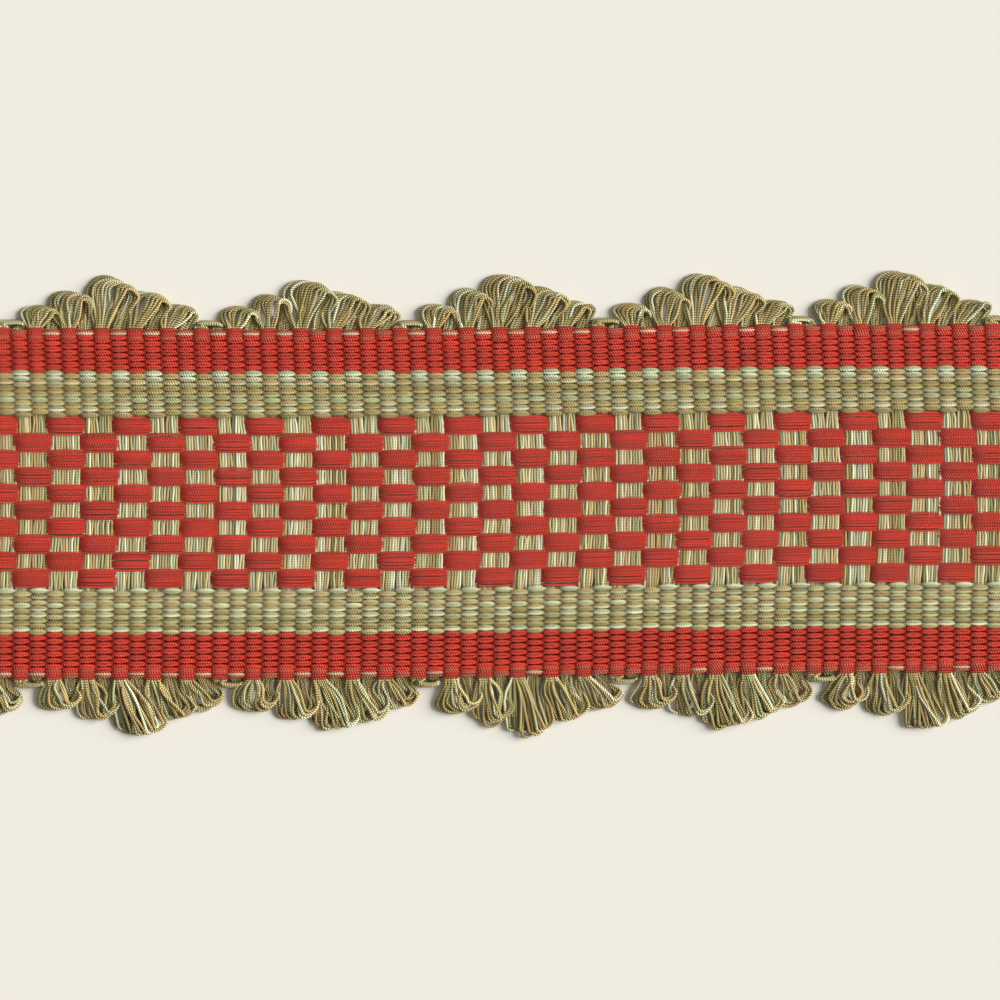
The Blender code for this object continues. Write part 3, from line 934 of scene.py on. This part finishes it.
def plain_material(name, colour, roughness, mottle):
    """One colour with a slow mottle."""
    material = bpy.data.materials.get(name) or bpy.data.materials.new(name)
    material.use_nodes = True
    tree = material.node_tree
    shader = tree.nodes["Principled BSDF"]
    shader.inputs["Roughness"].default_value = roughness
    fibres = tree.nodes.new("ShaderNodeGroup")
    fibres.node_tree = fibre_group()
    fibres.inputs["Amount"].default_value = mottle
    scale = tree.nodes.new("ShaderNodeVectorMath")
    scale.operation = "SCALE"
    scale.inputs[0].default_value = tuple(colour)
    tree.links.new(fibres.outputs["Shade"], scale.inputs["Scale"])
    tree.links.new(scale.outputs[0], shader.inputs["Base Color"])
    return material


def painted_shade_material(name, roughness):
    """The piece's stored colours, matt; on the heart they are painted shade."""
    material = bpy.data.materials.get(name) or bpy.data.materials.new(name)
    material.use_nodes = True
    tree = material.node_tree
    shader = tree.nodes["Principled BSDF"]
    shader.inputs["Roughness"].default_value = roughness
    shader.inputs["Specular IOR Level"].default_value = HEART_SHEEN
    dye = tree.nodes.new("ShaderNodeVertexColor")
    dye.layer_name = "yarn_colour"
    tree.links.new(dye.outputs["Color"], shader.inputs["Base Color"])
    return material


def dress(obj, material, nodes):
    """Give a piece its material and its body, and hide the solids that it stands for."""
    obj.data.materials.append(material)
    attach(obj, "root")
    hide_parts(*nodes)
    return obj


def join_groups(groups):
    """Yarn arrays with the same stations, one after the other."""
    return [np.concatenate(column) for column in zip(*groups)]


class BRAID_OT_bands(bpy.types.Operator):
    """Weave the red and green ribbed bands above and below the checks"""

    bl_idname = "braid.bands"
    bl_label = "Ribbed bands"

    def execute(self, context):
        material = cotton_yarn("warp_cotton")
        for side, name in ((1, "upper_bands"), (-1, "lower_bands")):
            paths, across, up, tints = join_groups(band_side(side))
            piece = yarn_mesh(name, paths, across, up, tints)
            dress(piece, material, ["woven_ground"])
        return {"FINISHED"}


class BRAID_OT_checks(bpy.types.Operator):
    """Weave the chequered middle: red warps over and under, pale wefts between them"""

    bl_idname = "braid.checks"
    bl_label = "Chequered middle"

    def execute(self, context):
        warp = cotton_yarn("warp_cotton")
        weft = cotton_yarn("weft_cotton")
        paths, across, up, tints = join_groups(check_warps())
        piece = yarn_mesh("check_warps", paths, across, up, tints)
        dress(piece, warp, ["woven_ground"])
        for layer, name in ((1, "face_wefts"), (-1, "back_wefts")):
            piece = yarn_mesh(name, *check_wefts(layer))
            dress(piece, weft, ["woven_ground"])
        return {"FINISHED"}


class BRAID_OT_fan_edges(bpy.types.Operator):
    """Loop the weft yarns out along both edges in scallops"""

    bl_idname = "braid.fan_edges"
    bl_label = "Fan edges"

    def execute(self, context):
        material = cotton_yarn("weft_cotton")
        radius = sizes().yarn / 2
        for side, where in ((1, "upper"), (-1, "lower")):
            skeins, much = FRINGES[where]
            paths, tints = fan_paths(skeins, side, sizes().unevenness * much, LOOP_SEED + side)
            piece = yarn_mesh(where + "_loops", paths, radius, radius, tints)
            dress(piece, material, ["fan_edge_" + where])
        return {"FINISHED"}


class BRAID_OT_heart(bpy.types.Operator):
    bl_idname = "braid.heart"
    bl_label = "Heart of the cloth"

    def execute(self, context):
        piece = closed_sheet("cloth_heart", *heart_surface())
        material = painted_shade_material("cloth_heart", HEART_ROUGHNESS)
        dress(piece, material, ["woven_ground"])
        return {"FINISHED"}


# The photograph's view: straight down, a little turned, from slightly to the left of the middle
VIEW_CENTRE = Vector((-1.2 * MM, 1.04 * MM, 1.0 * MM))
VIEW_DISTANCE = 0.6
VIEW_WIDTH = 151.5 * MM
VIEW_SLANT = math.radians(2.0)
VIEW_ROLL = math.radians(-0.31)
SENSOR_WIDTH = 36.0
KEY_FROM = (0.87, 0.11, 0.48)
KEY_STRENGTH = 5.2
KEY_SPREAD = math.radians(42)
SKY_STRENGTH = 0.27
KEY_COLOUR = (1.0, 0.985, 0.955)
SKY_COLOUR = (1.0, 0.985, 0.95)
NEAR_CLIP = 0.01
SURFACE_HALF = 0.6
SURFACE_DEPTH = 0.03 * MM
SURFACE_ROUGHNESS = 0.9
SURFACE_MOTTLE = 0.015


class BRAID_OT_stage(bpy.types.Operator):
    """Set the surface, the soft light from the right and the camera straight above"""

    bl_idname = "braid.stage"
    bl_label = "Stage"

    def execute(self, context):
        half = SURFACE_HALF
        mesh = bpy.data.meshes.new("surface")
        corners = [(-half, -half), (half, -half), (half, half), (-half, half)]
        mesh.from_pydata([(x, y, -SURFACE_DEPTH) for x, y in corners], [], [(0, 1, 2, 3)])
        surface = link(bpy.data.objects.new("surface", mesh))
        paper = plain_material("surface", colours().paper, SURFACE_ROUGHNESS, SURFACE_MOTTLE)
        mesh.materials.append(paper)

        sun = bpy.data.lights.new("key", "SUN")
        sun.energy = KEY_STRENGTH
        sun.angle = KEY_SPREAD
        sun.color = KEY_COLOUR
        key = link(bpy.data.objects.new("key", sun))
        key.rotation_euler = (-Vector(KEY_FROM)).to_track_quat("-Z", "Y").to_euler()

        world = context.scene.world or bpy.data.worlds.new("sky")
        context.scene.world = world
        world.use_nodes = True
        sky = world.node_tree.nodes["Background"]
        sky.inputs["Color"].default_value = (*SKY_COLOUR, 1.0)
        sky.inputs["Strength"].default_value = SKY_STRENGTH

        lens = bpy.data.cameras.new("camera")
        lens.sensor_width = SENSOR_WIDTH
        lens.lens = SENSOR_WIDTH * VIEW_DISTANCE / VIEW_WIDTH
        lens.clip_start = NEAR_CLIP
        camera = link(bpy.data.objects.new("camera", lens))
        away = Vector((-math.sin(VIEW_SLANT), 0.0, math.cos(VIEW_SLANT)))
        camera.location = VIEW_CENTRE + VIEW_DISTANCE * away
        turn = Euler((0.0, -VIEW_SLANT, 0.0)).to_matrix() @ Euler((0.0, 0.0, VIEW_ROLL)).to_matrix()
        camera.rotation_euler = turn.to_euler()
        context.scene.camera = camera
        context.scene.view_settings.view_transform = "Standard"
        return {"FINISHED"}


class BRAID_PT_panel(bpy.types.Panel):
    """Lists the sizes, the colours and the steps of the braid"""

    bl_idname = "BRAID_PT_panel"
    bl_label = "Braid trim"
    bl_space_type = "VIEW_3D"
    bl_region_type = "UI"
    bl_category = "Braid"

    def draw(self, context):
        layout = self.layout
        for group in (context.scene.braid_sizes, context.scene.braid_colours):
            for name in group.__annotations__:
                layout.prop(group, name)
        for step in STEPS:
            layout.operator(step.bl_idname)


STEPS = (BRAID_OT_bands, BRAID_OT_checks, BRAID_OT_fan_edges, BRAID_OT_heart, BRAID_OT_stage)
CLASSES = (BraidSizes, BraidColours, *STEPS, BRAID_PT_panel)


def register():
    """Add the settings, the operators and the panel."""
    for cls in CLASSES:
        bpy.utils.register_class(cls)
    bpy.types.Scene.braid_sizes = bpy.props.PointerProperty(type=BraidSizes)
    bpy.types.Scene.braid_colours = bpy.props.PointerProperty(type=BraidColours)


def unregister():
    """Take them away again."""
    del bpy.types.Scene.braid_colours
    del bpy.types.Scene.braid_sizes
    for cls in reversed(CLASSES):
        bpy.utils.unregister_class(cls)


def main():
    """Build every piece in order."""
    register()
    bpy.ops.braid.bands()
    bpy.ops.braid.checks()
    bpy.ops.braid.fan_edges()
    bpy.ops.braid.stage()
    bpy.ops.braid.heart()


if __name__ == "__main__":
    main()
